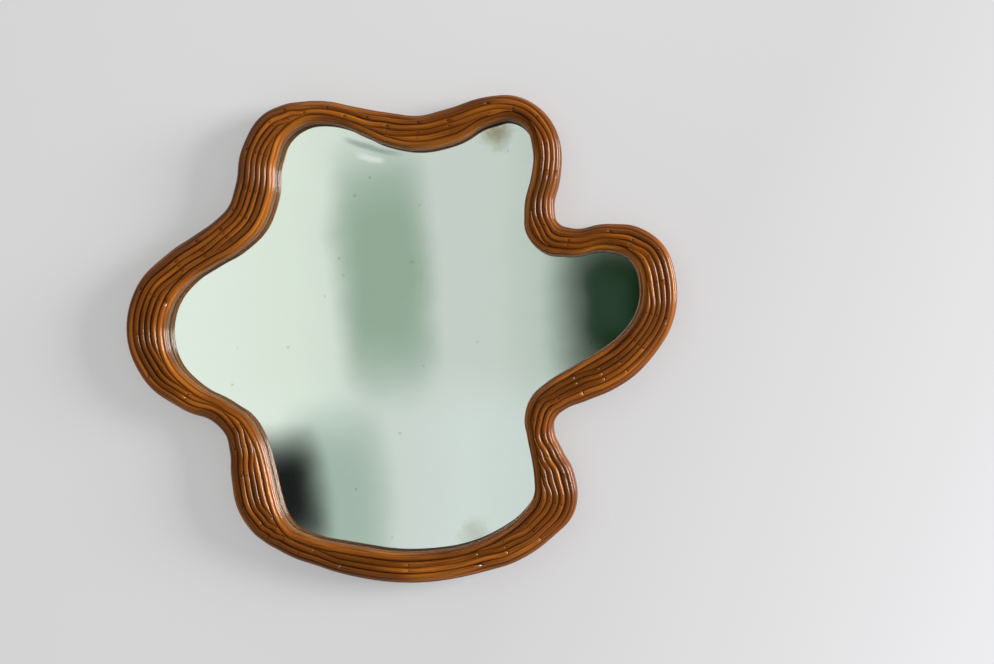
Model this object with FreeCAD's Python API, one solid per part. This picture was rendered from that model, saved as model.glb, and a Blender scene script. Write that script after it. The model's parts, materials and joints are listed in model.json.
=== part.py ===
import FreeCAD, Part
import math
import os

# Irregular wall mirror in a frame of pencil reeds.
# Millimetres. X runs right and Z up as seen from the front, the front faces -Y and the
# wall is the plane y = 0. The origin is the middle of the back, on the wall.
# "Height" below is the distance off the wall, and "inset" the distance from an edge of
# the frame towards the other edge, both as seen from the front.

V = FreeCAD.Vector

# ---------------------------------------------------------------- the frame's outline
# The frame bends round these circles, clockwise from the top right. Each row holds the
# circle of the outer edge and the circle of the inner edge: middle x, middle z, radius.
# Lobes have a positive radius and necks, which bend the other way, a negative one.
BENDS = {
    "top_right_lobe": ((136, 245, 83), (147, 263, 30)),
    "top_right_side": ((98, 238, 120), (103, 243, 78)),
    "upper_right_neck": ((231, 170, -23), (216, 158, -48)),
    "right_lobe_top": ((294, 75, 78), (282, 77, 39)),
    "right_lobe_side": ((258, 55, 114), (244, 64, 80)),
    "right_lobe_foot": ((220, 65, 150), (190, 110, 150)),
    "lower_right_neck": ((234, -121, -27), (229, -111, -60)),
    "bottom_right_lobe": ((184, -211, 56), (119, -194, 65)),
    "bottom_right_sweep": ((80, -133, 185), (55, -130, 152)),
    "bottom_sweep": ((8, 9, 340), (6, 55, 345)),
    "bottom_left_sweep": ((-84, -146, 165), (-65, -110, 170)),
    "bottom_left_lobe": ((-138, -199, 92), (-121, -224, 44)),
    "lower_left_neck": ((-269, -146, -33), (-269, -169, -86)),
    "left_lobe": ((-261, 14, 117), (-231, 9, 90)),
    "upper_left_neck": ((-287, 210, -60), (-277, 209, -106)),
    "top_left_lobe": ((-140, 240, 80), (-114, 240, 52)),
    "top_left_crown": ((-115, 162, 160), (-110, 187, 105)),
    "top_neck": ((18, 420, -120), (26, 384, -130)),
}
BEND_STEP = 40          # most that the frame turns between two cuts across it, degrees
SHORT_RUN = 26          # bends nearer to each other than this meet in one cut
LONG_RUN = 60           # bends further apart than this have a cut halfway as well

# ------------------------------------------------------------------------- the reeds
REED_DIAMETER = 6.6
REED_GAP = 0.2          # air between two reeds that lie side by side
SEAT_GAP = 0.5          # air between a reed and the core that it lies on
BUTT_GAP = 0.3          # where the two ends of one reed meet
BUTT_STAGGER = 13       # cuts round the frame from one reed's butt joint to the next's
# The way from each full-length reed to the next one, as an angle from the wall plane:
# straight up the outer side, over the crest, and down the inner side to the glass.
OUTER_LEANS = (90, 90, 90, 84, 70, 50, 18)
INNER_LEANS = (-30, -68, -85, -90)
CROWN_RISE = (0.6, 1.1, 1.1, 0.6)   # how far each filler reed stands above the crest
TIP_RADIUS = 0.35       # the blunt point of a tapered filler reed
TIP_LIFT = 1.7          # the point rides this high on the groove between two reeds
TAPER_SECTIONS = 4      # round sections that a tapered end is drawn through

# Brads pin the reeds at the crest, which have core straight under them.
BRAD_DIAMETER = 1.1
BRAD_LENGTH = 14.0
BRAD_HEAD_DIAMETER = 2.0
BRAD_HEAD_THICKNESS = 0.4
BRAD_PROUD = 0.15       # how far a brad's head stands out of its reed

# -------------------------------------------------------------------- the layered core
RIM_THICKNESS = 12.0
BED_THICKNESS = 6.0
LIP_THICKNESS = 6.0
LOWER_CORE_THICKNESS = 6.0
UPPER_CORE_THICKNESS = 6.0
CROWN_CORE_THICKNESS = 5.0

# ------------------------------------------------------------ the mirror and its back
GLASS_THICKNESS = 4.0
GLASS_OVERLAP = 9.5     # how far the glass runs under the frame, past its inner edge
GLASS_PLAY = 1.0        # room round the glass in its bed
GLASS_LIP_GAP = 0.2     # between the glass and the lip in front of it
COAT_THICKNESS = 0.1    # silvering and its backing paint
SHEET_THICKNESS = 1.5   # soft sheet between the glass and the back panel
PANEL_THICKNESS = 4.0
PANEL_OVERLAP = 16.0    # how far the back panel runs past the frame's inner edge
PANEL_PLAY = 0.6        # room round the back panel in the rear rim

# ------------------------------------------------------------------ the panel's screws
SCREW_DIAMETER = 2.5
SCREW_LENGTH = 9.0
SCREW_HEAD_DIAMETER = 4.8
SCREW_HEAD_THICKNESS = 1.6
HOLE_PLAY = 0.05
SLOT_WIDTH = 0.8
SLOT_DEPTH = 0.7
SCREW_EVERY = 3         # a screw at every third cut across the frame

# ------------------------------------------------------------------------ the hangers
HANGER_SPREAD = 220     # between the two hangers
HANGER_HEIGHT = 190     # the hinge line of the D-rings above the middle
STRAP_WIDTH = 12.0
STRAP_THICKNESS = 1.0
STRAP_LENGTH = 30.0     # from the hinge line to the strap's round end
RING_WIRE = 2.5
RING_PLAY = 0.05        # all round the ring's straight leg in the strap's curl
RING_WIDTH = 20.0       # between the middles of the D's two legs
RING_REACH = 16.0       # from the hinge line to the middle of the bow's top
RING_CORNER = 3.0       # bend radius where the straight leg turns into the bow
RING_REST_GAP = 0.3     # between the hung ring's bow and the back panel it leans on
RIVET_DIAMETER = 3.0
RIVET_HEAD_DIAMETER = 6.0
RIVET_HEAD_THICKNESS = 0.9
RIVET_TAIL_DIAMETER = 5.0
RIVET_TAIL_THICKNESS = 0.7
RIVET_SPOTS = (9.0, 22.0)   # down the strap from the hinge line

# ------------------------------------------------------------------------ worked out
REED_RADIUS = REED_DIAMETER / 2
REED_PITCH = REED_DIAMETER + REED_GAP
LEDGE = REED_DIAMETER + SEAT_GAP        # what two walls of reeds take from the core
BED_HEIGHT = RIM_THICKNESS
LIP_HEIGHT = BED_HEIGHT + BED_THICKNESS
LOWER_CORE_HEIGHT = LIP_HEIGHT + LIP_THICKNESS
UPPER_CORE_HEIGHT = LOWER_CORE_HEIGHT + LOWER_CORE_THICKNESS
CROWN_CORE_HEIGHT = UPPER_CORE_HEIGHT + UPPER_CORE_THICKNESS
GLASS_FRONT = LIP_HEIGHT - GLASS_LIP_GAP
GLASS_BACK = GLASS_FRONT - GLASS_THICKNESS
COAT_BACK = GLASS_BACK - COAT_THICKNESS
PANEL_BACK = RIM_THICKNESS - PANEL_THICKNESS
BED_INSET = GLASS_OVERLAP + GLASS_PLAY
RIM_INSET = PANEL_OVERLAP + PANEL_PLAY
SCREW_INSET = (BED_INSET + PANEL_OVERLAP) / 2
CURL_RADIUS = RING_WIRE / 2 + RING_PLAY + STRAP_THICKNESS
HINGE_OFF_WALL = PANEL_BACK - CURL_RADIUS
RING_LEAN = math.degrees(math.asin(
    (PANEL_BACK - RING_REST_GAP - RING_WIRE / 2 - HINGE_OFF_WALL) / RING_REACH))


# ============================================================== the frame's outline
class Cut:
    """A cut across the frame: its two edges there and the way that the frame runs."""

    def __init__(self, outer, inner):
        self.outer = outer
        self.inner = inner

    def steer(self, before, after):
        """Take each edge's direction from the circle through three cuts' points."""
        self.outer_way = way_through(before.outer, self.outer, after.outer)
        self.inner_way = way_through(before.inner, self.inner, after.inner)
        way = (self.outer_way + self.inner_way).normalize()
        self.outward = V(-way.z, 0, way.x)
        self.width = (self.outer - self.inner).dot(self.outward)
        self.fillers = max(0, math.floor((self.width - ARCH_WIDTH) / REED_PITCH))

    def stretch(self):
        """How much wider apart the reeds lie here than side by side."""
        return (self.width - REED_DIAMETER) / (
            ARCH_WIDTH - REED_DIAMETER + self.fillers * REED_PITCH)

    def point(self, inset):
        """The point this far from the outer edge, on the wall plane."""
        return self.outer + (self.inner - self.outer) * (inset / self.width)

    def way(self, inset):
        """The frame's direction this far from the outer edge."""
        way = self.outer_way + (self.inner_way - self.outer_way) * (inset / self.width)
        return way.normalize()


def arch_of_reeds():
    """Places of the full-length reeds across the narrowest frame, outer side first."""
    across, height = 0.0, 0.0
    places = [(across, height)]
    for lean in OUTER_LEANS + INNER_LEANS:
        across += REED_PITCH * math.cos(math.radians(lean))
        height += REED_PITCH * math.sin(math.radians(lean))
        places.append((across, height))
    lift = GLASS_FRONT + SEAT_GAP + REED_RADIUS - height
    return [(place[0], place[1] + lift) for place in places]


ARCH = arch_of_reeds()
ARCH_WIDTH = ARCH[-1][0] + REED_DIAMETER
CREST = len(OUTER_LEANS)        # the crest reed's number in the arch


def point_on(circle, angle):
    x, z, radius = circle
    return V(x + radius * math.cos(angle), 0, z + radius * math.sin(angle))


def meeting(first, second):
    """Normal angle and length of the straight run between two bends' middle circles."""
    x1, z1, r1 = [sum(values) / 2 for values in zip(*first)]
    x2, z2, r2 = [sum(values) / 2 for values in zip(*second)]
    apart = math.hypot(x2 - x1, z2 - z1)
    angle = math.atan2(z2 - z1, x2 - x1) + math.acos((r1 - r2) / apart)
    return angle, math.sqrt(apart ** 2 - (r1 - r2) ** 2)


def cuts_round_frame():
    """The cuts in order: along each bend, and halfway between bends far apart or near."""
    bends = list(BENDS.values())
    meetings = [meeting(bends[i], bends[(i + 1) % len(bends)]) for i in range(len(bends))]
    cuts = []
    for i, (outer, inner) in enumerate(bends):
        before, run_before = meetings[i - 1]
        after, run_after = meetings[i]
        way = -1 if outer[2] > 0 else 1
        turn = ((after - before) * way) % (2 * math.pi)
        steps = max(2, math.ceil(math.degrees(turn) / BEND_STEP))
        starts_alone = run_before >= SHORT_RUN
        ends_alone = run_after >= SHORT_RUN
        for k in range(0 if starts_alone else 1, steps + 1 if ends_alone else steps):
            angle = before + way * turn * k / steps
            cuts.append(Cut(point_on(outer, angle), point_on(inner, angle)))
        if run_after < SHORT_RUN or run_after > LONG_RUN:
            outer_after, inner_after = bends[(i + 1) % len(bends)]
            cuts.append(Cut((point_on(outer, after) + point_on(outer_after, after)) * 0.5,
                            (point_on(inner, after) + point_on(inner_after, after)) * 0.5))
    return cuts


def steered(cuts):
    """The same cuts, each with its directions and what fits across it."""
    for k, cut in enumerate(cuts):
        cut.steer(cuts[k - 1], cuts[(k + 1) % len(cuts)])
    return cuts


def squared(cuts):
    """The same cuts turned square to the frame, their ends moved along its edges."""
    turned = []
    outer = Part.Wire(arcs_through([(cut.outer, cut.outer_way) for cut in cuts + cuts[:1]]))
    inner = Part.Wire(arcs_through([(cut.inner, cut.inner_way) for cut in cuts + cuts[:1]]))
    for cut in cuts:
        middle = (cut.outer + cut.inner) * 0.5
        turned.append(Cut(crossing(outer, middle, cut.outward * cut.width),
                          crossing(inner, middle, cut.outward * -cut.width)))
    return steered(turned)


def crossing(wire, start, reach):
    """Where the wire crosses the straight line from start over reach."""
    line = Part.LineSegment(start, start + reach).toShape()
    return wire.distToShape(line)[1][0][0]


def halfway(first, second):
    """The cut where the two arcs of each edge meet, between two other cuts."""
    return Cut(arcs_meet(first.outer, first.outer_way, second.outer, second.outer_way),
               arcs_meet(first.inner, first.inner_way, second.inner, second.inner_way))


def one_filler_at_a_time(cuts):
    """The cuts with more between them where two fillers would start or end together."""
    finer = []
    for k, cut in enumerate(cuts):
        following = cuts[(k + 1) % len(cuts)]
        finer.append(cut)
        if abs(cut.fillers - following.fillers) > 1:
            finer.append(halfway(cut, following))
    steered(finer)
    for k, cut in enumerate(finer):
        beside = min(finer[k - 1].fillers, finer[(k + 1) % len(finer)].fillers)
        cut.fillers = min(cut.fillers, beside + 1)
    return finer


def arc(start, direction, end):
    """The arc from start, leaving along direction, to end."""
    chord = end - start
    side = direction - chord * (direction.dot(chord) / chord.dot(chord))
    bend = direction.getAngle(chord)
    bulge = chord.Length / 2 * math.tan(bend / 2)
    if bulge < 1e-4:
        return Part.LineSegment(start, end).toShape()
    side.normalize()
    return Part.Arc(start, (start + end) * 0.5 + side * bulge, end).toShape()


def arcs_meet(start, start_way, end, end_way):
    """Where two tangent arcs meet that leave start and reach end along two directions."""
    chord = end - start
    both = start_way + end_way
    spread = 2 * (1 - start_way.dot(end_way))
    if spread < 1e-9:
        reach = chord.dot(chord) / (2 * chord.dot(both))
    else:
        pull = chord.dot(both)
        reach = (math.sqrt(pull ** 2 + spread * chord.dot(chord)) - pull) / spread
    return (start + start_way * reach + end - end_way * reach) * 0.5


def way_through(before, point, after):
    """The direction at a point of the circle through it and its neighbours."""
    into = point - before
    out = after - point
    way = into * (out.Length / into.Length) + out * (into.Length / out.Length)
    return way.normalize()


def arcs_through(stops):
    """Two tangent arcs from each stop to the next one; a stop is a point and a way."""
    edges = []
    for (start, start_way), (end, end_way) in zip(stops, stops[1:]):
        middle = arcs_meet(start, start_way, end, end_way)
        second = arc(end, end_way * -1, middle)
        second.reverse()
        edges += [arc(start, start_way, middle), second]
    return edges


CUTS = one_filler_at_a_time(squared(steered(cuts_round_frame())))


def path(insets, height, first=0, count=len(CUTS)):
    """A path of arcs along the frame at one height, through an inset at every cut."""
    stops = []
    for k in range(first, first + count + 1):
        cut, inset = CUTS[k % len(CUTS)], insets[k % len(CUTS)]
        stops.append((cut.point(inset) + V(0, -height, 0), cut.way(inset)))
    return arcs_through(stops)


def ring_face(insets, height):
    """The flat face inside the closed path at these insets."""
    return Part.Face(Part.Wire(path(insets, height)))


def from_inner(inset):
    """Insets from the outer edge that stay this far from the inner edge."""
    return [cut.width - inset for cut in CUTS]


def from_outer(inset):
    return [inset for cut in CUTS]


def plate(insets, back, thickness):
    """A flat sheet with the outline at these insets."""
    return ring_face(insets, back).extrude(V(0, -thickness, 0))


def ring(outer_insets, inner_insets, back, thickness):
    """A flat ring between two outlines."""
    return plate(outer_insets, back, thickness).cut(
        plate(inner_insets, back, thickness))


# ============================================================================ reeds
def reed_insets(number):
    """Where full-length reed number lies at every cut, from the outer edge."""
    across = ARCH[number][0]
    insets = []
    for cut in CUTS:
        widening = cut.fillers * REED_PITCH if number > CREST else 0
        insets.append(REED_RADIUS + cut.stretch() * (across + widening))
    return insets


def filler_insets(number):
    """Where filler reed number lies, or where it would start between two others."""
    insets = []
    for cut in CUTS:
        place = number if number <= cut.fillers else cut.fillers + 0.5
        insets.append(REED_RADIUS + cut.stretch() * (ARCH[CREST][0] + place * REED_PITCH))
    return insets


def round_section(centre, direction, radius):
    return Part.Wire(Part.Circle(centre, direction, radius).toShape())


def full_reed(number):
    """A round reed once round the frame, its ends butted together."""
    start = (BUTT_STAGGER * number) % len(CUTS)
    edges = path(reed_insets(number), ARCH[number][1], first=start)
    last = edges[-1]
    shortened = last.Curve.toShape(
        last.Curve.parameterAtDistance(BUTT_GAP, last.FirstParameter), last.LastParameter)
    edges[-1] = shortened
    spine = Part.Wire(edges)
    head = spine.Edges[0]
    section = round_section(head.firstVertex(True).Point, head.tangentAt(
        head.FirstParameter), REED_RADIUS)
    return spine.makePipeShell([section], True, False)


def taper(edges, thickening):
    """The tapered end of a reed along two arcs, out of the groove it starts on."""
    sections = []
    length = sum(edge.Length for edge in edges)
    for k in range(TAPER_SECTIONS):
        part = k / (TAPER_SECTIONS - 1)
        edge, run = edges[0], part * length
        if run > edge.Length:
            edge, run = edges[1], run - edge.Length
        share = run / edge.Length if edge.Orientation == "Forward" else 1 - run / edge.Length
        at = edge.FirstParameter + share * (edge.LastParameter - edge.FirstParameter)
        part = part if thickening else 1 - part
        full = 2 * part ** 2 if part < 0.5 else 1 - 2 * (1 - part) ** 2
        sections.append(round_section(
            edge.valueAt(at) + V(0, -TIP_LIFT * (1 - full), 0), edge.tangentAt(at),
            TIP_RADIUS + (REED_RADIUS - TIP_RADIUS) * full))
    return Part.makeLoft(sections, True, False)


def filler_height(number):
    return ARCH[CREST][1] + CROWN_RISE[min(number, len(CROWN_RISE)) - 1]


def filler_reed(number, first, count):
    """A filler reed from cut first over count cuts, with a tapered end at each side."""
    insets = filler_insets(number)
    height = filler_height(number)
    pieces = [taper(path(insets, height, first - 1, 1), True),
              taper(path(insets, height, first + count - 1, 1), False)]
    if count > 1:
        spine = Part.Wire(path(insets, height, first, count - 1))
        head = spine.Edges[0]
        section = round_section(head.firstVertex(True).Point, head.tangentAt(
            head.FirstParameter), REED_RADIUS)
        pieces.append(spine.makePipeShell([section], True, False))
    return pieces[0].fuse(pieces[1:])


def filler_runs():
    """Every filler reed as (its number, its first cut, how many cuts it covers)."""
    total = len(CUTS)
    runs = []
    for number in range(1, max(cut.fillers for cut in CUTS) + 1):
        for first in range(total):
            if CUTS[first].fillers < number or CUTS[first - 1].fillers >= number:
                continue
            count = 1
            while CUTS[(first + count) % total].fillers >= number:
                count += 1
            runs.append((number, first, count))
    return sorted(runs, key=lambda run: (run[1], run[0]))


# ============================================================================= core
def reach_of(number, bottom, top):
    """How far a reed and its seat gap reach sideways into a layer of the core."""
    height = ARCH[number][1]
    off = max(bottom - height, height - top, 0)
    reach = REED_RADIUS + SEAT_GAP
    return math.sqrt(reach ** 2 - off ** 2) if off < reach else None


def core_ring(bottom, thickness):
    """A layer of the core that fills what the reeds leave between them."""
    top = bottom + thickness
    outer_insets = from_outer(0)
    inner_insets = [cut.width for cut in CUTS]
    for number in range(len(ARCH)):
        reach = reach_of(number, bottom, top)
        if reach is None:
            continue
        places = reed_insets(number)
        if number <= CREST:
            outer_insets = [max(inset, place + reach)
                            for inset, place in zip(outer_insets, places)]
        else:
            inner_insets = [min(inset, place - reach)
                            for inset, place in zip(inner_insets, places)]
    return ring(outer_insets, inner_insets, bottom, thickness)


# ========================================================================= fasteners
def bar(x, z, bottom, top, diameter):
    """A round bar square to the wall, between two heights."""
    return Part.makeCylinder(diameter / 2, top - bottom, V(x, -bottom, z), V(0, -1, 0))


def brad(spot, reed_height):
    """A brad driven straight down through the top of a reed."""
    top = reed_height + REED_RADIUS + BRAD_PROUD
    shank = bar(spot.x, spot.z, top - BRAD_LENGTH, top, BRAD_DIAMETER)
    head = bar(spot.x, spot.z, top - BRAD_HEAD_THICKNESS, top, BRAD_HEAD_DIAMETER)
    return shank.fuse(head)


def brads_in_full_reed(number):
    """Brads at every second cut, in step with the crest reed or between its brads."""
    insets = reed_insets(number)
    return [brad(CUTS[k].point(insets[k]), ARCH[number][1])
            for k in range(number % 2, len(CUTS), 2)]


def brads_in_filler(number, first, count):
    """A brad at each cut where the filler reed has its whole thickness."""
    insets = filler_insets(number)
    spots = [(first + k) % len(CUTS) for k in range(count)]
    return [brad(CUTS[k].point(insets[k]), filler_height(number)) for k in spots]


def panel_screw(spot):
    head_back = PANEL_BACK - SCREW_HEAD_THICKNESS
    head = bar(spot.x, spot.z, head_back, PANEL_BACK, SCREW_HEAD_DIAMETER)
    shank = bar(spot.x, spot.z, PANEL_BACK, PANEL_BACK + SCREW_LENGTH, SCREW_DIAMETER)
    slot = Part.makeBox(2 * SCREW_HEAD_DIAMETER, SLOT_DEPTH, SLOT_WIDTH)
    slot.translate(V(spot.x - SCREW_HEAD_DIAMETER, -head_back - SLOT_DEPTH,
                     spot.z - SLOT_WIDTH / 2))
    return head.fuse(shank).cut(slot)


def screw_hole(spot):
    return bar(spot.x, spot.z, PANEL_BACK, PANEL_BACK + SCREW_LENGTH,
               SCREW_DIAMETER + 2 * HOLE_PLAY)


def screw_spots():
    """On the ledge of the glass bed, which the back panel's edge lies on."""
    return [cut.point(cut.width - SCREW_INSET) for cut in CUTS[::SCREW_EVERY]]


# =========================================================================== hangers
def hinge_line(side):
    """The middle of a D-ring's hinge line; side is -1 for the left and 1 for the right."""
    return V(side * HANGER_SPREAD / 2, -HINGE_OFF_WALL, HANGER_HEIGHT)


def rivet_spots(side):
    hinge = hinge_line(side)
    return [V(hinge.x, 0, hinge.z - drop) for drop in RIVET_SPOTS]


def strap(side):
    """A steel strip folded round the ring's leg, its two leaves pressed together."""
    hinge = hinge_line(side)
    left = hinge.x - STRAP_WIDTH / 2
    leaves = Part.makeBox(STRAP_WIDTH, 2 * STRAP_THICKNESS, STRAP_LENGTH,
                          V(left, -PANEL_BACK, hinge.z - STRAP_LENGTH))
    end_height = hinge.z - STRAP_LENGTH + STRAP_WIDTH / 2
    end = bar(hinge.x, end_height, PANEL_BACK - 2 * STRAP_THICKNESS, PANEL_BACK,
              STRAP_WIDTH)
    above = Part.makeBox(STRAP_WIDTH, 2 * STRAP_THICKNESS, STRAP_LENGTH,
                         V(left, -PANEL_BACK, end_height))
    curl = Part.makeCylinder(CURL_RADIUS, STRAP_WIDTH, V(left, hinge.y, hinge.z),
                             V(1, 0, 0))
    bore = Part.makeCylinder(RING_WIRE / 2 + RING_PLAY, STRAP_WIDTH,
                             V(left, hinge.y, hinge.z), V(1, 0, 0))
    body = leaves.common(above).fuse([end, curl]).cut(bore)
    for spot in rivet_spots(side):
        body = body.cut(bar(spot.x, spot.z, 0, PANEL_BACK,
                            RIVET_DIAMETER + 2 * HOLE_PLAY))
    return body.removeSplitter()


def d_ring(side):
    """A closed wire D on its straight leg, leaning back onto the panel."""
    half = RING_WIDTH / 2
    bend = RING_CORNER
    sweep = bend * math.cos(math.pi / 4)
    bow = RING_REACH - half
    corners = [V(-half + bend, 0, 0), V(half - bend, 0, 0), V(half, 0, bend),
               V(half, 0, bow), V(-half, 0, bow), V(-half, 0, bend)]
    edges = [
        Part.LineSegment(corners[0], corners[1]).toShape(),
        Part.Arc(corners[1], V(half - bend + sweep, 0, bend - sweep),
                 corners[2]).toShape(),
        Part.LineSegment(corners[2], corners[3]).toShape(),
        Part.Arc(corners[3], V(0, 0, RING_REACH), corners[4]).toShape(),
        Part.LineSegment(corners[4], corners[5]).toShape(),
        Part.Arc(corners[5], V(-half + bend - sweep, 0, bend - sweep),
                 corners[0]).toShape(),
    ]
    section = round_section(corners[0], V(1, 0, 0), RING_WIRE / 2)
    ring_shape = Part.Wire(edges).makePipeShell([section], True, False)
    ring_shape.rotate(V(0, 0, 0), V(1, 0, 0), RING_LEAN)
    ring_shape.translate(hinge_line(side))
    return ring_shape


def rivet(spot):
    """A rivet from the strap's back to the front of the panel, flared at its tail."""
    back = PANEL_BACK - 2 * STRAP_THICKNESS
    head = bar(spot.x, spot.z, back - RIVET_HEAD_THICKNESS, back, RIVET_HEAD_DIAMETER)
    shank = bar(spot.x, spot.z, back, RIM_THICKNESS, RIVET_DIAMETER)
    tail = bar(spot.x, spot.z, RIM_THICKNESS - RIVET_TAIL_THICKNESS, RIM_THICKNESS,
               RIVET_TAIL_DIAMETER)
    return head.fuse([shank, tail])


def rivet_hole(spot):
    play = 2 * HOLE_PLAY
    hole = bar(spot.x, spot.z, PANEL_BACK, RIM_THICKNESS, RIVET_DIAMETER + play)
    pocket = bar(spot.x, spot.z, RIM_THICKNESS - RIVET_TAIL_THICKNESS, RIM_THICKNESS,
                 RIVET_TAIL_DIAMETER + play)
    return hole.fuse(pocket)


# ========================================================================== assembly
def add_reeds(nodes):
    """The reeds, drilled for their brads, and the brads as one group."""
    brads = []
    for number in range(len(ARCH)):
        reed = full_reed(number)
        if number in (CREST - 1, CREST):
            pins = brads_in_full_reed(number)
            reed = reed.cut(pins)
            brads += pins
        nodes[f"reed_{number + 1:02d}"] = reed
    for k, run in enumerate(filler_runs()):
        pins = brads_in_filler(*run)
        nodes[f"filler_reed_{k + 1:02d}"] = filler_reed(*run).cut(pins)
        brads += pins
    nodes["reed_brads"] = Part.makeCompound(brads)
    return brads


def add_core(nodes, brads):
    """The plywood rings, from the wall to under the crest."""
    screws = [screw_hole(spot) for spot in screw_spots()]
    bed = ring(from_outer(LEDGE), from_inner(BED_INSET), BED_HEIGHT, BED_THICKNESS)
    nodes["rear_rim"] = ring(from_outer(LEDGE), from_inner(RIM_INSET), 0, RIM_THICKNESS)
    nodes["glass_bed_ring"] = bed.cut(screws)
    layers = {
        "front_lip_ring": (LIP_HEIGHT, LIP_THICKNESS),
        "lower_core_ring": (LOWER_CORE_HEIGHT, LOWER_CORE_THICKNESS),
        "upper_core_ring": (UPPER_CORE_HEIGHT, UPPER_CORE_THICKNESS),
        "crown_core_ring": (CROWN_CORE_HEIGHT, CROWN_CORE_THICKNESS),
    }
    lowest_brad = ARCH[CREST - 1][1] + REED_RADIUS + BRAD_PROUD - BRAD_LENGTH
    for name, (bottom, thickness) in layers.items():
        layer = core_ring(bottom, thickness)
        if bottom + thickness > lowest_brad:
            layer = layer.cut(brads)
        nodes[name] = layer


def add_mirror(nodes):
    """The glass with its coat, the soft sheet and the panel that closes the back."""
    under_frame = from_inner(GLASS_OVERLAP)
    nodes["mirror_glass"] = plate(under_frame, GLASS_BACK, GLASS_THICKNESS)
    nodes["silver_coat"] = plate(under_frame, COAT_BACK, COAT_THICKNESS)
    nodes["backing_sheet"] = plate(under_frame, RIM_THICKNESS, SHEET_THICKNESS)
    holes = [screw_hole(spot) for spot in screw_spots()]
    holes += [rivet_hole(spot) for side in (-1, 1) for spot in rivet_spots(side)]
    panel = plate(from_inner(PANEL_OVERLAP), PANEL_BACK, PANEL_THICKNESS)
    nodes["back_panel"] = panel.cut(holes)
    nodes["panel_screws"] = Part.makeCompound(
        [panel_screw(spot) for spot in screw_spots()])


def add_hangers(nodes):
    for side, name in ((-1, "left"), (1, "right")):
        nodes[f"{name}_hanger_strap"] = strap(side)
        nodes[f"{name}_d_ring"] = d_ring(side)
    nodes["hanger_rivets"] = Part.makeCompound(
        [rivet(spot) for side in (-1, 1) for spot in rivet_spots(side)])


def build():
    nodes = {}
    brads = add_reeds(nodes)
    add_core(nodes, brads)
    add_mirror(nodes)
    add_hangers(nodes)
    return nodes


os.makedirs("parts", exist_ok=True)
for node, shape in build().items():
    shape.exportStep(f"parts/{node}.step")
    print(f"{node:24s} solids {len(shape.Solids):3d}  valid {shape.isValid()}  "
          f"volume {shape.Volume / 1000:9.2f} cm3")
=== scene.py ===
# %% [markdown]
# # Irregular wall mirror in a frame of pencil reeds
#
# The real object is a flat mirror in a wide, soft-shaped frame. The frame is a stepped
# plywood core, wrapped lengthwise with thin round rattan reeds that are stained brown and
# lacquered. This lesson starts from the exact model of that object, gives every part the
# finish of its real material, and sets up the wall, the lamps and the camera.
#
# The first cell loads the model. Every part arrives as its own mesh, in metres, with the
# wall as the plane y = 0 and the front facing -Y.

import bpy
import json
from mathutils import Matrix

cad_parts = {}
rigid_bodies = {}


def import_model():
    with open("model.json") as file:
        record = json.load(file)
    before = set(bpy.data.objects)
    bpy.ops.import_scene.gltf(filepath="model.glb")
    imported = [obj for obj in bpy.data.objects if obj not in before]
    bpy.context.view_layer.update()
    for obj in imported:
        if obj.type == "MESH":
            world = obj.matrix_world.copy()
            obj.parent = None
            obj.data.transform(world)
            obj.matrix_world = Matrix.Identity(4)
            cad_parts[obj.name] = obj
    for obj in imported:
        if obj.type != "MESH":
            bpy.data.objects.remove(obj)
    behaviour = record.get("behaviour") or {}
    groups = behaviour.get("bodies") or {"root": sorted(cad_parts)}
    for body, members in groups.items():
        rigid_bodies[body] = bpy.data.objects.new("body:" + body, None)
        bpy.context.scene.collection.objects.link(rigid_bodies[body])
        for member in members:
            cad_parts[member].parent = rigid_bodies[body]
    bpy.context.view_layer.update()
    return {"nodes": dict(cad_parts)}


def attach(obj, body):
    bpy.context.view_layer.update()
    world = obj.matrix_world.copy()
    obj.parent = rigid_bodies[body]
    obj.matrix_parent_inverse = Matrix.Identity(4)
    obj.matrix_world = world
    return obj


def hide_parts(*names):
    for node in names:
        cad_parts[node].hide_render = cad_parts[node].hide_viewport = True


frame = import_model()
nodes = frame["nodes"]

# %% Tools for the whole lesson
import json
import math

import bmesh
import bpy
import numpy as np
from mathutils import Euler, Matrix, Vector, kdtree

MM = 0.001
scene = bpy.context.scene
scene.view_settings.view_transform = "Standard"

# %% [markdown]
# ## The camera
#
# The photograph was taken from nearly straight ahead, a little right of the middle and
# turned a few degrees back towards the mirror, so both the left inner wall and the right
# outer wall of the frame show a little. A perspective camera at the same distance gives
# the same foreshortening. A wider lens from nearer by would make the near edges larger.

# %% Camera
PHOTO_WIDTH = 994
SENSOR = 36.0
FOCAL_PIXELS = 1380             # focal length in pixels of the photograph
CAMERA_PLACE = Vector((0.271, -1.880, 0.008))
CAMERA_TURN = math.radians(4.3)

camera_data = bpy.data.cameras.new("camera")
camera_data.sensor_width = SENSOR
camera_data.lens = FOCAL_PIXELS / PHOTO_WIDTH * SENSOR
camera = bpy.data.objects.new("camera", camera_data)
camera.location = CAMERA_PLACE
camera.rotation_euler = Euler((math.radians(90), 0, CAMERA_TURN))
scene.collection.objects.link(camera)
scene.camera = camera
print("lens:", round(camera_data.lens, 1), "mm")

# %% [markdown]
# ## Colours and shader nodes
#
# Colours are written as the hex values that a colour picker shows on screen. The shader
# works with linear light, so one function turns a screen value into linear light. A
# second small function adds any shader node with its settings and links, which keeps each
# material short enough to read.

# %% Helpers for materials
def colour(hex_value):
    """An sRGB hex colour such as "#7a4312" as a linear RGBA colour."""
    screen = [int(hex_value[k:k + 2], 16) / 255 for k in (1, 3, 5)]
    return [s / 12.92 if s <= 0.04045 else ((s + 0.055) / 1.055) ** 2.4 for s in screen] + [1]


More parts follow.
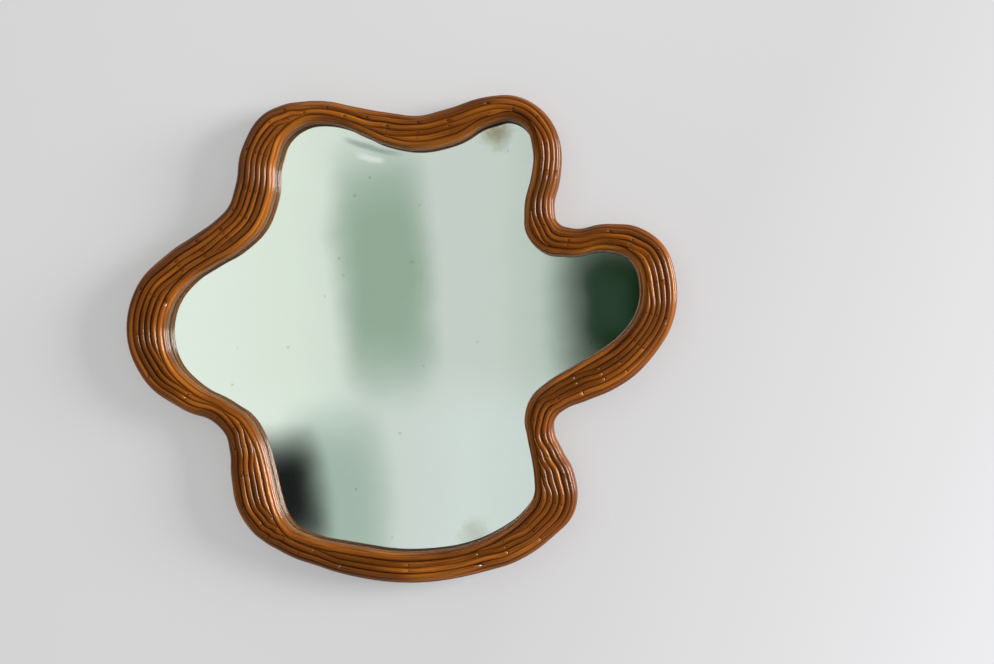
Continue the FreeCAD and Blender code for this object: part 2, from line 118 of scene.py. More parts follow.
def add(tree, kind, settings=None, links=None):
    """Adds a shader node. Settings are properties, inputs or colour stops, links are inputs."""
    made = tree.nodes.new("ShaderNode" + kind)
    for name, value in (settings or {}).items():
        if name == "stops":
            stops = made.color_ramp.elements
            while len(stops) < len(value):
                stops.new(1)
            for stop, (place, shade) in zip(stops, value):
                stop.position, stop.color = place, shade
        elif isinstance(name, str) and hasattr(made, name):
            setattr(made, name, value)
        else:
            made.inputs[name].default_value = value
    for name, (source, output) in (links or {}).items():
        tree.links.new(source.outputs[output], made.inputs[name])
    return made


def new_material(name):
    """A material whose node tree is still empty, and that tree."""
    material = bpy.data.materials.new(name)
    material.use_nodes = True
    material.node_tree.nodes.clear()
    return material, material.node_tree


def coat(names, material):
    """Gives the pieces with these names the material."""
    for name in names:
        mesh = bpy.data.objects[name].data
        mesh.materials.clear()
        mesh.materials.append(material)
    print(material.name, "on", len(names), "piece" if len(names) == 1 else "pieces")


# %% [markdown]
# ## The line of the frame
#
# A reed's grain runs along the reed, and each reed follows the frame round all its lobes.
# A plain noise pattern knows nothing of that, so the reeds need a coordinate that runs
# along the frame and another one that runs round each reed. The front plywood ring sits
# under the crest and has a smooth outer edge, so its edge is walked point by point to get
# the line that all the reeds follow.

# %% Walk the crown ring's outer edge
SAME_POINT = 0.001 * MM         # points nearer than this are one point
FLAT = 0.01 * MM                # a point this near to a flat face lies on it
FORWARD = -0.9                  # a face whose normal has less y than this looks forward


def merged_copy(name):
    """The mesh of a part as a bmesh, with its loose triangles joined."""
    bm = bmesh.new()
    bm.from_mesh(nodes[name].data)
    bmesh.ops.remove_doubles(bm, verts=bm.verts, dist=SAME_POINT)
    return bm


def front_edges(name):
    """The closed edges of a flat part's front face, each as an ordered array of points."""
    bm = merged_copy(name)
    front = min(v.co.y for v in bm.verts)
    rim = [e for e in bm.edges if all(v.co.y < front + FLAT for v in e.verts)
           and sum(f.normal.y < FORWARD for f in e.link_faces) == 1]
    beside = {}
    for e in rim:
        for v in e.verts:
            beside.setdefault(v, []).append(e.other_vert(v))
    edges = []
    while beside:
        start = next(iter(beside))
        walk, here = [], start
        while here in beside:
            walk.append(here.co.copy())
            following = [v for v in beside.pop(here) if v in beside]
            here = following[0] if following else None
        edges.append(np.array(walk))
    bm.free()
    return edges


def length_of(points):
    """The length of a closed line through these points."""
    return float(np.linalg.norm(points - np.roll(points, -1, axis=0), axis=1).sum())


crown_line = max(front_edges("crown_core_ring"), key=length_of)
frame_length = length_of(crown_line)
print("the frame is", round(frame_length, 3), "m round, in", len(crown_line), "points")

# %% Even steps along the line, with the outward direction at each
LINE_STEP = 1 * MM
LOOK = 4                        # the line's direction is taken this many steps each way

steps = round(frame_length / LINE_STEP)
closed = np.vstack([crown_line, crown_line[:1]])
along = np.concatenate([[0], np.cumsum(np.linalg.norm(np.diff(closed, axis=0), axis=1))])
evenly = np.linspace(0, along[-1], steps, endpoint=False)
line_x, line_z = (np.interp(evenly, along, closed[:, k]) for k in (0, 2))
way_x = np.roll(line_x, -LOOK) - np.roll(line_x, LOOK)
way_z = np.roll(line_z, -LOOK) - np.roll(line_z, LOOK)
turn = np.sign(np.sum(line_x * way_z - line_z * way_x))
out_x, out_z = turn * way_z, -turn * way_x

nearest = kdtree.KDTree(steps)
for k in range(steps):
    nearest.insert((line_x[k], 0, line_z[k]), k)
nearest.balance()
print("line of", steps, "steps, running", "left" if turn > 0 else "right", "round")

# %% [markdown]
# ## The reeds
#
# Each reed on the real frame is a round rattan core of about 6.6 mm. The model's meshes
# have the right shape already, but their triangles are loose, so light would show every
# facet. A merged copy of each reed takes its place, shaded smooth. Four attributes are
# stored on its points:
#
# - "cane" is a place in the reed's own wood. Its first two numbers go once round a circle
#   as long as the frame, so that the grain has no seam, and the third goes round the reed.
# - "crown" is 1 on the part of the reed that faces out and falls to -1 in the groove.
#   The grooves are painted darker by it: partly stain that gathered there, partly painted shade.
# - "pale" is highest on the inner slope, which is painted paler there: painted light.
# - the fourth is highest by the glass and by the wall, where the reeds are painted greyer as
#   painted shade and reflection.
#
# The copies are a third of a millimetre thicker all round. That is the lacquer, which
# half fills the grooves and makes the reeds look as if they had grown together.

# %% A bmesh as a piece of the scene
def placed(name, bm):
    """Turns the bmesh into a new object in the scene."""
    mesh = bpy.data.meshes.new(name)
    bm.to_mesh(mesh)
    bm.free()
    made = bpy.data.objects.new(name, mesh)
    scene.collection.objects.link(made)
    return made


# %% Replace the reeds by smooth copies with grain coordinates
REED_RADIUS = 3.3 * MM
REED_APART = 50 * MM            # keeps the grain of two reeds from looking alike
LACQUER = 0.35 * MM             # a thick film, which half fills the grooves
SHARP = math.radians(40)        # edges sharper than this, as at a cut end, stay crisp
# The way each full-length reed faces, in degrees from straight out of the wall: the
# first lies on the outer wall, the eighth on the crest and the twelfth by the glass.
FACINGS = (90, 90, 90, 87, 77, 60, 34, -6, -49, -76, -88, -90)
# How much paler each of them is painted than the crest, as painted light, and how much
# greyer, as painted shade and reflection.
INNER_PAINTED_LIGHT = (0, 0, 0, 0, 0, 0, 0, 0.2, 0.8, 1, 0.5, 0.2)
GREY_PAINTED_SHADE = (0.2, 0.1, 0, 0, 0, 0, 0, 0, 0, 0, 0.35, 0.5)


def cane_reed(node_name, number, facing=0, pale=0, dusty=0):
    """A smooth copy of a reed with its grain coordinates, riding in the reed's place."""
    reed = placed("cane_" + node_name, merged_copy(node_name))
    mesh = reed.data
    mesh.polygons.foreach_set("use_smooth", [True] * len(mesh.polygons))
    mesh.set_sharp_from_angle(angle=SHARP)
    circle = frame_length / math.tau
    places, crowns = [], []
    for v in mesh.vertices:
        step = nearest.find((v.co.x, 0, v.co.z))[1]
        turned = math.tau * step / steps
        outward = v.normal.x * out_x[step] + v.normal.z * out_z[step]
        sideways = math.copysign(math.hypot(v.normal.x, v.normal.z), outward)
        round_reed = math.atan2(sideways, -v.normal.y)
        places += [circle * math.cos(turned), circle * math.sin(turned),
                   REED_RADIUS * round_reed + REED_APART * number]
        crowns.append(math.cos(round_reed - math.radians(facing)))
    # All normals are copied first, because moving a point would change them.
    for v, normal in [(v, v.normal.copy()) for v in mesh.vertices]:
        v.co += LACQUER * normal
    mesh.attributes.new("cane", "FLOAT_VECTOR", "POINT").data.foreach_set("vector", places)
    for name, values in (("crown", crowns), ("pale", [pale] * len(crowns)),
                         ("dusty", [dusty] * len(crowns))):
        mesh.attributes.new(name, "FLOAT", "POINT").data.foreach_set("value", values)
    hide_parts(node_name)
    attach(reed, "frame")
    return reed


full_names = sorted(n for n in nodes if n.startswith("reed_") and n != "reed_brads")
filler_names = sorted(n for n in nodes if n.startswith("filler_reed_"))
reeds = [cane_reed(name, k, FACINGS[k], INNER_PAINTED_LIGHT[k], GREY_PAINTED_SHADE[k]) for k, name in enumerate(full_names)]
reeds += [cane_reed(name, len(FACINGS) + k) for k, name in enumerate(filler_names)]
print(len(reeds), "reeds,", sum(len(r.data.polygons) for r in reeds), "triangles")

# %% [markdown]
# ## Stained and lacquered rattan
#
# Rattan core is a bundle of fine tubes, so its grain is long and thin: streaks under a
# millimetre wide that run for many centimetres. It was stained brown and then lacquered,
# which gives a clear gloss over a rougher wood. The grooves are painted darker, partly for
# stain that settled there and partly as painted shade. The inner slope is painted paler as
# painted light, and the reeds by the glass and the wall greyer as painted shade and
# reflection. The pattern is noise that is stretched along the reed. The lacquer is the
# shader's coat, so the wood below keeps its own softer shine.

# %% Grain that is stretched along the reed
STREAK_WIDTH = 1.4 * MM         # the real streaks are finer, too fine to show
STREAK_LENGTH = 90 * MM
FIBRE_WIDTH = 0.35 * MM         # so are the real tubes
FIBRE_LENGTH = 25 * MM
TONE_LENGTH = 170 * MM          # how far a light or dark stretch of a reed runs
TONE_WIDTH = 25 * MM

cane_finish, tree = new_material("stained_lacquered_rattan")
place = add(tree, "Attribute", {"attribute_name": "cane"})
patterns = {}
for name, length, width, detail in (("tone", TONE_LENGTH, TONE_WIDTH, 2),
                                    ("streak", STREAK_LENGTH, STREAK_WIDTH, 4),
                                    ("fibre", FIBRE_LENGTH, FIBRE_WIDTH, 2)):
    stretched = add(tree, "VectorMath",
                    {"operation": "MULTIPLY", 1: (1 / length, 1 / length, 1 / width)},
                    {0: (place, "Vector")})
    patterns[name] = add(tree, "TexNoise", {"Scale": 1, "Detail": detail, "Roughness": 0.6},
                         {"Vector": (stretched, "Vector")})
print("patterns along the reed:", ", ".join(patterns))

# %% Stain, streaks, and painted light and shade: darker grooves, paler and greyer reeds
PAINTED_LIGHT_LIFT = 0.13                # how far up the stain's colours the palest reed lies

# Painted light: the inner slope is lifted towards the stain's paler colours.
pale = add(tree, "Attribute", {"attribute_name": "pale"})
toned = add(tree, "Math", {"operation": "MULTIPLY_ADD", 1: PAINTED_LIGHT_LIFT},
            {0: (pale, "Fac"), 2: (patterns["tone"], "Fac")})
stain = add(tree, "ValToRGB", {"stops": [(0.34, colour("#5c3308")), (0.5, colour("#7c410b")),
                                         (0.68, colour("#b06619")), (0.85, colour("#c8782a"))]},
            {"Fac": (toned, "Value")})
streak_mask = add(tree, "MapRange", {"From Min": 0.4, "From Max": 0.66, "To Min": 0, "To Max": 0.8},
                  {"Value": (patterns["streak"], "Fac")})
streaked = add(tree, "Mix", {"data_type": "RGBA", 7: colour("#552900")},
               {0: (streak_mask, "Result"), 6: (stain, "Color")})
crown = add(tree, "Attribute", {"attribute_name": "crown"})
# The grooves are painted darker: partly stain that settled there, partly painted shade.
groove_shade_mask = add(tree, "MapRange", {"From Min": 0.5, "From Max": 0.0, "To Min": 0, "To Max": 0.4,
                                     "interpolation_type": "SMOOTHSTEP"}, {"Value": (crown, "Fac")})
groove_shaded = add(tree, "Mix", {"data_type": "RGBA", 7: colour("#4a2200")},
              {0: (groove_shade_mask, "Result"), 6: (streaked, 2)})
# Painted shade and reflection: the reeds by the glass and by the wall are greyed.
grey_shade_fac = add(tree, "Attribute", {"attribute_name": "dusty"})
grey_shaded = add(tree, "Mix", {"data_type": "RGBA", 7: colour("#6a604a")},
             {0: (grey_shade_fac, "Fac"), 6: (groove_shaded, 2)})

# %% Wood under lacquer
relief = add(tree, "Bump", {"Strength": 0.5, "Distance": 0.08 * MM},
             {"Height": (patterns["fibre"], "Fac")})
wood = add(tree, "BsdfPrincipled", {"Roughness": 0.5, "IOR": 1.5, "Specular IOR Level": 0.06,
                                    "Coat Weight": 0.6, "Coat Roughness": 0.18},
           {"Base Color": (grey_shaded, 2), "Normal": (relief, "Normal")})
add(tree, "OutputMaterial", {}, {"Surface": (wood, "BSDF")})
coat([reed.name for reed in reeds], cane_finish)

# %% [markdown]
# ## The mirror
#
# A mirror is a sheet of clear float glass with a thin coat of silver on its back, so the
# picture comes from behind the glass. Float glass has a little iron in it, which tints
# what it shows slightly green. On this old mirror the silver has gone brown in two places
# near the frame.

# %% Clear float glass
SPECK = 3 * MM                  # a speck of dust or paint, and how far they lie apart
SPECK_APART = 45 * MM

glass_finish, tree = new_material("clear_float_glass")
place = add(tree, "TexCoord")
specks = add(tree, "TexVoronoi", {"Scale": 1 / SPECK_APART}, {"Vector": (place, "Object")})
speck_mask = add(tree, "MapRange", {"From Min": SPECK / SPECK_APART, "From Max": 0,
                                    "To Min": 0, "To Max": 0.35}, {"Value": (specks, "Distance")})
tint = add(tree, "Mix", {"data_type": "RGBA", 6: colour("#fefffe"), 7: colour("#8d948e")},
           {0: (speck_mask, "Result")})
glass = add(tree, "BsdfPrincipled", {"Roughness": 0, "IOR": 1.52, "Transmission Weight": 1},
            {"Base Color": (tint, 2)})
add(tree, "OutputMaterial", {}, {"Surface": (glass, "BSDF")})
coat(["mirror_glass"], glass_finish)

# %% [markdown]
# The silver lies right on the glass, so both parts have a face in the same plane, and a
# ray of light can't tell which comes first. A copy of the silver with its front face a
# hair further back takes its place, and the light meets the glass, then the silver.

# %% The silver a hair behind the glass
HAIR = 0.02 * MM

bm = merged_copy("silver_coat")
silver_front = min(v.co.y for v in bm.verts)
front_points = [v for v in bm.verts if v.co.y < silver_front + FLAT]
bmesh.ops.translate(bm, vec=(0, HAIR, 0), verts=front_points)
silver_layer = placed("silver_layer", bm)
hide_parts("silver_coat")
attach(silver_layer, "frame")
print("silver front moved back on", len(front_points), "points")

# %% Silver coat with two brown spots
# Each spot: its middle, how far it reaches and how brown it is.
SPOTS = (((0.131, 0.278), 30 * MM, 0.75), ((0.101, -0.266), 30 * MM, 0.3))
FRAY = 30 * MM                  # how far the ragged noise moves a spot's edge
FRAY_SIZE = 25 * MM
BROWNEST = -12 * MM             # the frayed distance at which a spot is at its brownest

silver_finish, tree = new_material("silvered_mirror_coat")
place = add(tree, "TexCoord")
ragged = add(tree, "TexNoise", {"Scale": 1 / FRAY_SIZE, "Detail": 5, "Roughness": 0.7},
             {"Vector": (place, "Object")})
aged = None
for (x, z), reach, brown in SPOTS:
    away = add(tree, "VectorMath", {"operation": "DISTANCE", 1: (x, silver_front, z)},
               {0: (place, "Object")})
    frayed = add(tree, "Math", {"operation": "MULTIPLY_ADD", 1: -FRAY},
                 {0: (ragged, "Fac"), 2: (away, "Value")})
    spot = add(tree, "MapRange", {"From Min": reach - FRAY / 2, "From Max": BROWNEST,
                                  "To Min": 0, "To Max": brown, "interpolation_type": "SMOOTHSTEP"},
               {"Value": (frayed, "Value")})
    aged = spot if aged is None else add(tree, "Math", {"operation": "MAXIMUM"},
                                         {0: (aged, "Result"), 1: (spot, "Result")})
browned = add(tree, "Mix", {"data_type": "RGBA", 6: colour("#f7f8f7"), 7: colour("#9c8a58")},
              {0: (aged, "Value")})
silver = add(tree, "BsdfPrincipled", {"Metallic": 1, "Roughness": 0.02}, {"Base Color": (browned, 2)})
add(tree, "OutputMaterial", {}, {"Surface": (silver, "BSDF")})
coat(["silver_layer"], silver_finish)

# %% [markdown]
# ## The back
#
# Behind the glass lie a soft sheet and a panel of hardboard, screwed into a ring of
# plywood. None of it shows from the front, but the mirror is handled from the back, so
# these parts get their own finishes: the plywood shows its veneers at the edges, the
# hardboard is brown with a fine fibre pattern, and the fittings are zinc-plated steel.

# %% Birch plywood
PLY = 1.5 * MM                  # thickness of one veneer
GRAIN = (83.3 * MM, 1.11 * MM, 3.85 * MM)    # how far the grain runs across, deep and up
WAVE = math.tau / 20            # how far apart the wave node's bands lie at a scale of 1

ply_finish, tree = new_material("bare_birch_plywood")
place = add(tree, "TexCoord")
grain_place = add(tree, "VectorMath", {"operation": "MULTIPLY", 1: tuple(1 / size for size in GRAIN)},
                  {0: (place, "Object")})
grain = add(tree, "TexNoise", {"Scale": 1, "Detail": 4}, {"Vector": (grain_place, "Vector")})
face_tone = add(tree, "ValToRGB", {"stops": [(0.3, colour("#c79f6c")), (0.7, colour("#ddbe90"))]},
                {"Fac": (grain, "Fac")})

# %% Light and dark veneers, on the edges alone
veneers = add(tree, "TexWave", {"bands_direction": "Y", "Scale": WAVE / (2 * PLY), "Distortion": 0.3},
              {"Vector": (place, "Object")})
veneer_mask = add(tree, "MapRange", {"From Min": 0.45, "From Max": 0.6, "To Min": 0, "To Max": 0.6},
                  {"Value": (veneers, "Fac")})
facing = add(tree, "NewGeometry")
axes = add(tree, "SeparateXYZ", {}, {0: (facing, "Normal")})
flatness = add(tree, "Math", {"operation": "ABSOLUTE"}, {0: (axes, "Y")})
edge_only = add(tree, "MapRange", {"From Min": 0.7, "From Max": 0.3, "To Min": 0, "To Max": 1},
                {"Value": (flatness, "Value")})
on_edge = add(tree, "Math", {"operation": "MULTIPLY"},
              {0: (veneer_mask, "Result"), 1: (edge_only, "Result")})
layered = add(tree, "Mix", {"data_type": "RGBA", 7: colour("#a97c4b")},
              {0: (on_edge, "Value"), 6: (face_tone, "Color")})
relief = add(tree, "Bump", {"Strength": 0.4, "Distance": 0.1 * MM}, {"Height": (grain, "Fac")})
ply = add(tree, "BsdfPrincipled", {"Roughness": 0.7, "IOR": 1.5},
          {"Base Color": (layered, 2), "Normal": (relief, "Normal")})
add(tree, "OutputMaterial", {}, {"Surface": (ply, "BSDF")})
coat(["rear_rim", "glass_bed_ring", "front_lip_ring", "lower_core_ring", "upper_core_ring",
      "crown_core_ring"], ply_finish)

# %% Tempered hardboard
FIBRE_CLUMP = 2.5 * MM
PATCH = 111 * MM                # a lighter or darker patch of the board
CLUMP_SHARE = 0.6               # of the mottling; the rest comes from the patches

board_finish, tree = new_material("tempered_hardboard")
place = add(tree, "TexCoord")
clumps = add(tree, "TexNoise", {"Scale": 1 / FIBRE_CLUMP, "Detail": 6, "Roughness": 0.7},
             {"Vector": (place, "Object")})
patches = add(tree, "TexNoise", {"Scale": 1 / PATCH, "Detail": 2}, {"Vector": (place, "Object")})
patchy = add(tree, "Math", {"operation": "MULTIPLY", 1: 1 - CLUMP_SHARE}, {0: (patches, "Fac")})
mottle = add(tree, "Math", {"operation": "MULTIPLY_ADD", 1: CLUMP_SHARE},
             {0: (clumps, "Fac"), 2: (patchy, "Value")})
board_tone = add(tree, "ValToRGB", {"stops": [(0.35, colour("#6a4a30")), (0.65, colour("#8a6644"))]},
                 {"Fac": (mottle, "Value")})
relief = add(tree, "Bump", {"Strength": 0.5, "Distance": 0.15 * MM}, {"Height": (clumps, "Fac")})
board = add(tree, "BsdfPrincipled", {"Roughness": 0.55, "IOR": 1.5},
            {"Base Color": (board_tone, "Color"), "Normal": (relief, "Normal")})
add(tree, "OutputMaterial", {}, {"Surface": (board, "BSDF")})
coat(["back_panel"], board_finish)

# %% Soft grey card
PULP = 1.43 * MM                # a fleck of paper pulp

sheet_finish, tree = new_material("soft_grey_card")
place = add(tree, "TexCoord")
pulp = add(tree, "TexNoise", {"Scale": 1 / PULP, "Detail": 3}, {"Vector": (place, "Object")})
card_tone = add(tree, "ValToRGB", {"stops": [(0.3, colour("#c6c5c0")), (0.7, colour("#d8d7d2"))]},
                {"Fac": (pulp, "Fac")})
card = add(tree, "BsdfPrincipled", {"Roughness": 0.9}, {"Base Color": (card_tone, "Color")})
add(tree, "OutputMaterial", {}, {"Surface": (card, "BSDF")})
coat(["backing_sheet"], sheet_finish)

# %% Zinc-plated steel
SPANGLE = 3 * MM                # a crystal of zinc

zinc_finish, tree = new_material("bright_zinc_plate")
place = add(tree, "TexCoord")
cloud = add(tree, "TexNoise", {"Scale": 1 / SPANGLE, "Detail": 4}, {"Vector": (place, "Object")})
zinc_tone = add(tree, "ValToRGB", {"stops": [(0.3, colour("#b9bbb8")), (0.7, colour("#d3d4cf"))]},
                {"Fac": (cloud, "Fac")})
zinc_gloss = add(tree, "MapRange", {"From Min": 0.3, "From Max": 0.7, "To Min": 0.24, "To Max": 0.4},
                 {"Value": (cloud, "Fac")})
zinc = add(tree, "BsdfPrincipled", {"Metallic": 1},
           {"Base Color": (zinc_tone, "Color"), "Roughness": (zinc_gloss, "Result")})
add(tree, "OutputMaterial", {}, {"Surface": (zinc, "BSDF")})
coat(["panel_screws", "left_hanger_strap", "right_hanger_strap", "left_d_ring", "right_d_ring",
      "hanger_rivets"], zinc_finish)

# %% Dark annealed steel
OXIDE = 0.556 * MM              # a fleck of the dark oxide that annealing leaves

dark_finish, tree = new_material("dark_annealed_steel")
place = add(tree, "TexCoord")
flecks = add(tree, "TexNoise", {"Scale": 1 / OXIDE, "Detail": 3}, {"Vector": (place, "Object")})
dark_tone = add(tree, "ValToRGB", {"stops": [(0.3, colour("#2c1a10")), (0.7, colour("#4d382a"))]},
                {"Fac": (flecks, "Fac")})
dark = add(tree, "BsdfPrincipled", {"Metallic": 1, "Roughness": 0.45},
           {"Base Color": (dark_tone, "Color")})
add(tree, "OutputMaterial", {}, {"Surface": (dark, "BSDF")})
coat(["reed_brads"], dark_finish)

# %% [markdown]
# ## The wall
#
# The mirror hangs on a plain pale wall, which takes its soft shadow. The wall is one flat
# grid, a hair behind y = 0. It is see-through from behind, so that the back of the mirror
# can be looked at, and it stops no light, so that the back is lit as well.
#
# The lamps alone would light such a large wall unevenly, and more light would turn it
# white. So nearly half of its brightness is its own. Only rays that look at the wall see
# that part, so it lights nothing, and the other half still darkens in the shadow.

# %% Wall
WALL_WIDTH, WALL_HEIGHT = 9.0, 6.0
WALL_CLEAR = 0.2 * MM           # keeps the wall out of the plane of the frame's back


def upright(name, width, height, middle, tilt):
    """A flat upright grid. A tilt of 90 degrees makes it face -Y, and one of -90 degrees +Y."""
    bm = bmesh.new()
    bmesh.ops.create_grid(bm, x_segments=2, y_segments=2, size=0.5,
                          matrix=Matrix.Rotation(math.radians(tilt), 4, "X"))
    bmesh.ops.scale(bm, vec=(width, 1, height), verts=bm.verts)
    bmesh.ops.translate(bm, vec=middle, verts=bm.verts)
    return placed(name, bm)


wall = upright("wall", WALL_WIDTH, WALL_HEIGHT, (0, WALL_CLEAR, 0), 90)
wall.visible_shadow = False
wall.visible_diffuse = False
print("wall faces", [round(c) for c in wall.data.polygons[0].normal])

# %% Pale paint, with painted light drifting across it
SKIM = 71.4 * MM                # the size of the faint hollows in the plaster
LEAN = 0.6                      # the paint's drift from dull to pale leans by this slope
DULL_END, PALE_END = -0.8, 1.1  # where the drift starts and ends, in metres
OWN_LIGHT = 0.45


def looked_at(tree):
    """A node that is 1 for camera, glossy and transmission rays, and 0 for all others."""
    rays = add(tree, "LightPath")
    seen = add(tree, "Math", {"operation": "MAXIMUM"},
               {0: (rays, "Is Camera Ray"), 1: (rays, "Is Glossy Ray")})
    return add(tree, "Math", {"operation": "MAXIMUM"},
               {0: (seen, "Value"), 1: (rays, "Is Transmission Ray")})


wall_finish, tree = new_material("pale_wall_paint")
place = add(tree, "TexCoord")
axes = add(tree, "SeparateXYZ", {}, {0: (place, "Object")})
slanting = add(tree, "Math", {"operation": "MULTIPLY_ADD", 1: -LEAN}, {0: (axes, "Z"), 2: (axes, "X")})
# Painted light and shade: the paint goes from darker at the upper left to paler at the lower right, with a
# slightly darker band partway, as the window light falls across the wall.
painted_light_drift = add(tree, "MapRange", {"From Min": DULL_END, "From Max": PALE_END},
            {"Value": (slanting, "Value")})
shade = add(tree, "ValToRGB", {"stops": [(0, colour("#d7d7d7")), (0.35, colour("#d8d8d8")),
                                         (0.6, colour("#d5d4d5")), (0.84, colour("#dfdfe0")),
                                         (1, colour("#e9e9ec"))]}, {"Fac": (painted_light_drift, "Result")})
skim = add(tree, "TexNoise", {"Scale": 1 / SKIM, "Detail": 5}, {"Vector": (place, "Object")})
relief = add(tree, "Bump", {"Strength": 0.15, "Distance": 0.5 * MM}, {"Height": (skim, "Fac")})
paint = add(tree, "BsdfDiffuse", {}, {"Color": (shade, "Color"), "Normal": (relief, "Normal")})
glow = add(tree, "Emission", {}, {"Color": (shade, "Color"), "Strength": (looked_at(tree), "Value")})
half_lit = add(tree, "MixShader", {0: OWN_LIGHT}, {1: (paint, "BSDF"), 2: (glow, "Emission")})
clear = add(tree, "BsdfTransparent")
side = add(tree, "NewGeometry")
one_sided = add(tree, "MixShader", {},
                {0: (side, "Backfacing"), 1: (half_lit, "Shader"), 2: (clear, "BSDF")})
add(tree, "OutputMaterial", {}, {"Surface": (one_sided, "Shader")})
coat(["wall"], wall_finish)

# %% [markdown]
# ## The room in the mirror
#
# A mirror shows the room, so it needs a room to show. A card stands behind the camera
# with soft, out-of-focus areas like the ones that the real mirror shows: pale mint on one
# side, pale blue-green on the other, a grey-green shape between them, and a dark corner
# at each end. Only rays that have passed through glass see the card, so it lights nothing
# and shows in nothing else.

# %% Card behind the camera
CARD_BEHIND = 3.0
CARD_WIDTH, CARD_HEIGHT = 7.0, 5.0
CARD_ACROSS = -0.4              # the middle of the mirror shows the card about here

room_card = upright("room_card", CARD_WIDTH, CARD_HEIGHT, (CARD_ACROSS, -CARD_BEHIND, 0), -90)
for ray in ("camera", "diffuse", "glossy", "shadow"):
    setattr(room_card, "visible_" + ray, False)

# A place on the mirror shows the card further out, as the light runs on past the camera.
SPREAD = 1 + (CARD_BEHIND + silver_front) / (silver_front - CAMERA_PLACE.y)


def on_card(x, z):
    """Where on the card the camera looks when it looks at this place on the mirror."""
    return (SPREAD * x - (SPREAD - 1) * CAMERA_PLACE.x, 0,
            SPREAD * z - (SPREAD - 1) * CAMERA_PLACE.z)


print("the card shows", round(SPREAD, 2), "times smaller in the mirror")

# %% Two pale ramps, one for the upper and one for the lower half
WAVES_PER_METRE = 3.5
WAVER = 0.09                    # how far the waves move an edge on the card, in metres
LEFT_END, RIGHT_END = -0.31, 0.35       # of the mirror
UPPER_END, LOWER_START = -0.02, -0.13   # heights on the mirror between which they blend

room_finish, tree = new_material("blurred_room")
place = add(tree, "TexCoord")
waves = add(tree, "TexNoise", {"Scale": WAVES_PER_METRE, "Detail": 2}, {"Vector": (place, "Object")})
centred_waves = add(tree, "VectorMath", {"operation": "SUBTRACT", 1: (0.5, 0.5, 0.5)},
                    {0: (waves, "Color")})
wavered = add(tree, "VectorMath", {"operation": "MULTIPLY_ADD", 1: (WAVER, 0, WAVER)},
              {0: (centred_waves, "Vector"), 2: (place, "Object")})
axes = add(tree, "SeparateXYZ", {}, {0: (wavered, "Vector")})
across = add(tree, "MapRange", {"From Min": on_card(LEFT_END, 0)[0], "From Max": on_card(RIGHT_END, 0)[0]},
             {"Value": (axes, "X")})
upper = add(tree, "ValToRGB", {"stops": [(0.0, colour("#e0eae1")), (0.25, colour("#d9e4d8")),
                                         (0.5, colour("#c6cfca")), (0.68, colour("#c4cdc7")),
                                         (0.8, colour("#b0beb4"))]}, {"Fac": (across, "Result")})
lower = add(tree, "ValToRGB", {"stops": [(0.0, colour("#e1ebe2")), (0.25, colour("#dce7dd")),
                                         (0.42, colour("#c8d2cd")), (0.6, colour("#d0dad6")),
                                         (0.8, colour("#c9d3d1"))]}, {"Fac": (across, "Result")})
down = add(tree, "MapRange", {"From Min": on_card(0, UPPER_END)[2], "From Max": on_card(0, LOWER_START)[2],
                              "interpolation_type": "SMOOTHSTEP"}, {"Value": (axes, "Z")})
painted = add(tree, "Mix", {"data_type": "RGBA"},
              {0: (down, "Result"), 6: (upper, "Color"), 7: (lower, "Color")})
print("ramps from", round(on_card(LEFT_END, 0)[0], 2), "to", round(on_card(RIGHT_END, 0)[0], 2), "m")

# %% Soft shapes on the card
# Each soft shape: its middle and half its size on the mirror, how soft, its lean, colour.
SHAPES = (((-0.024, 0.092), (0.052, 0.126), 0.55, -5, "#93a897"),    # tall grey-green shape
          ((-0.095, -0.235), (0.058, 0.108), 0.60, 0, "#a3b5aa"),    # its lower half
          ((0.322, 0.042), (0.086, 0.092), 0.55, 0, "#122713"),      # dark green end
          ((0.284, 0.050), (0.020, 0.030), 0.90, 0, "#263c2d"),      # lighter patch in it
          ((-0.172, -0.216), (0.048, 0.066), 0.65, -8, "#171a1b"),   # dark lower corner
          ((-0.036, 0.258), (0.028, 0.003), 0.70, 17, "#98a59d"),    # dark slash at the top
          ((-0.040, 0.244), (0.013, 0.0035), 0.70, 15, "#d6ded9"))   # pale slash below it
SHAPE_DEPTH = 9                 # three times as deep as the card is far, so it counts little
CARD_GLOW = 1.12                # makes up for what the glass takes away

for middle, half, soft, lean, hex_value in SHAPES:
    centred = add(tree, "Mapping", {"vector_type": "TEXTURE", "Location": on_card(*middle),
                                    "Rotation": (0, math.radians(lean), 0),
                                    "Scale": (SPREAD * half[0], SHAPE_DEPTH, SPREAD * half[1])},
                  {"Vector": (wavered, "Vector")})
    squared = add(tree, "VectorMath", {"operation": "MULTIPLY"},
                  {0: (centred, "Vector"), 1: (centred, "Vector")})
    reach = add(tree, "VectorMath", {"operation": "LENGTH"}, {0: (squared, "Vector")})
    inside = add(tree, "MapRange", {"From Min": (1 + soft) ** 2, "From Max": (1 - soft) ** 2,
                                    "interpolation_type": "SMOOTHSTEP"}, {"Value": (reach, "Value")})
    painted = add(tree, "Mix", {"data_type": "RGBA", 7: colour(hex_value)},
                  {0: (inside, "Result"), 6: (painted, 2)})
glow = add(tree, "Emission", {"Strength": CARD_GLOW}, {"Color": (painted, 2)})
add(tree, "OutputMaterial", {}, {"Surface": (glow, "Emission")})
coat(["room_card"], room_finish)

# %% [markdown]
# The lacquer shows the room as well, but only as faint reflections, and most of the room
# is dimmer than its white wall. A half globe round the camera stands for it. Only glossy
# rays see it, so it gives the lacquer its depth and lights nothing.

# %% Dim room for the lacquer
ROOM_REACH = 9.0
ROOM_BEGINS = -0.1              # just in front of the wall
CORNERS_PER_METRE = 0.35

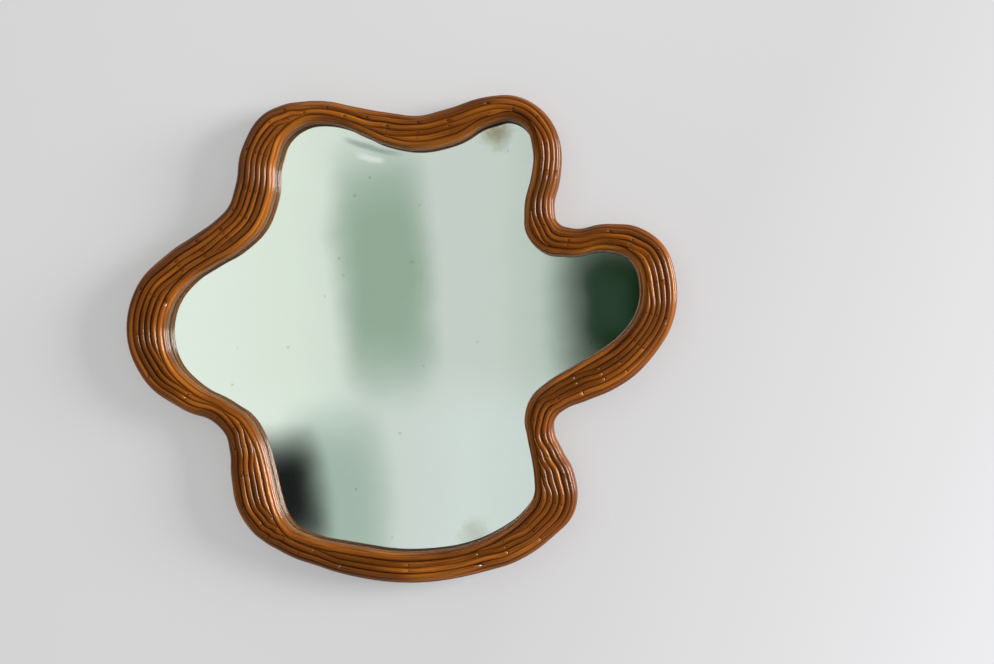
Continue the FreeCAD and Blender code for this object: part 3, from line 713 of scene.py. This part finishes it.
bm = bmesh.new()
bmesh.ops.create_uvsphere(bm, u_segments=48, v_segments=24, radius=ROOM_REACH)
bmesh.ops.bisect_plane(bm, geom=bm.verts[:] + bm.edges[:] + bm.faces[:], plane_co=(0, ROOM_BEGINS, 0),
                       plane_no=(0, 1, 0), clear_outer=True)
bmesh.ops.reverse_faces(bm, faces=bm.faces)
room_dome = placed("room_dome", bm)
for ray in ("camera", "diffuse", "transmission", "shadow"):
    setattr(room_dome, "visible_" + ray, False)
print("dome of", len(room_dome.data.polygons), "faces")

dome_finish, tree = new_material("dim_room")
place = add(tree, "TexCoord")
corners = add(tree, "TexNoise", {"Scale": CORNERS_PER_METRE, "Detail": 2}, {"Vector": (place, "Object")})
dim = add(tree, "ValToRGB", {"stops": [(0.35, colour("#2c2621")), (0.65, colour("#544b42"))]},
          {"Fac": (corners, "Fac")})
glow = add(tree, "Emission", {"Strength": 1}, {"Color": (dim, "Color")})
add(tree, "OutputMaterial", {}, {"Surface": (glow, "Emission")})
coat(["room_dome"], dome_finish)

# %% [markdown]
# ## Light
#
# The photograph was lit by a window to the right: the left side of the frame throws a
# soft shadow on the wall, and the right outer edges shine. One large soft lamp stands for
# the window, a weak one fills in from the left, and a third lights the back. The world
# gives an even, plain level, at which colours come out about as they are written. Where
# it is looked at, it shows a pale grey instead.

# %% Lamps
def lamp(name, place, size, power):
    """A soft square lamp that points at the middle of the mirror."""
    data = bpy.data.lights.new(name, "AREA")
    data.size, data.energy = size, power
    light = bpy.data.objects.new(name, data)
    light.location = place
    light.rotation_euler = (-Vector(place)).to_track_quat("-Z", "Y").to_euler()
    scene.collection.objects.link(light)
    print(name, "lamp,", round(Vector(place).length, 1), "m away")


lamp("window", (7.1, -2.6, 1.4), 3.0, 850)
lamp("room_fill", (-1.6, -2.6, 1.4), 1.8, 8)
lamp("back_fill", (0.6, 2.4, 1.0), 1.6, 30)

# %% World
world = bpy.data.worlds.new("plain_room")
scene.world = world
world.use_nodes = True
tree = world.node_tree
tree.nodes.clear()
even = add(tree, "Background", {"Color": colour("#ffffff"), "Strength": 0.5})
pale = add(tree, "Background", {"Color": colour("#dedee0"), "Strength": 1})
either = add(tree, "MixShader", {},
             {0: (looked_at(tree), "Value"), 1: (even, "Background"), 2: (pale, "Background")})
add(tree, "OutputWorld", {}, {"Surface": (either, "Shader")})
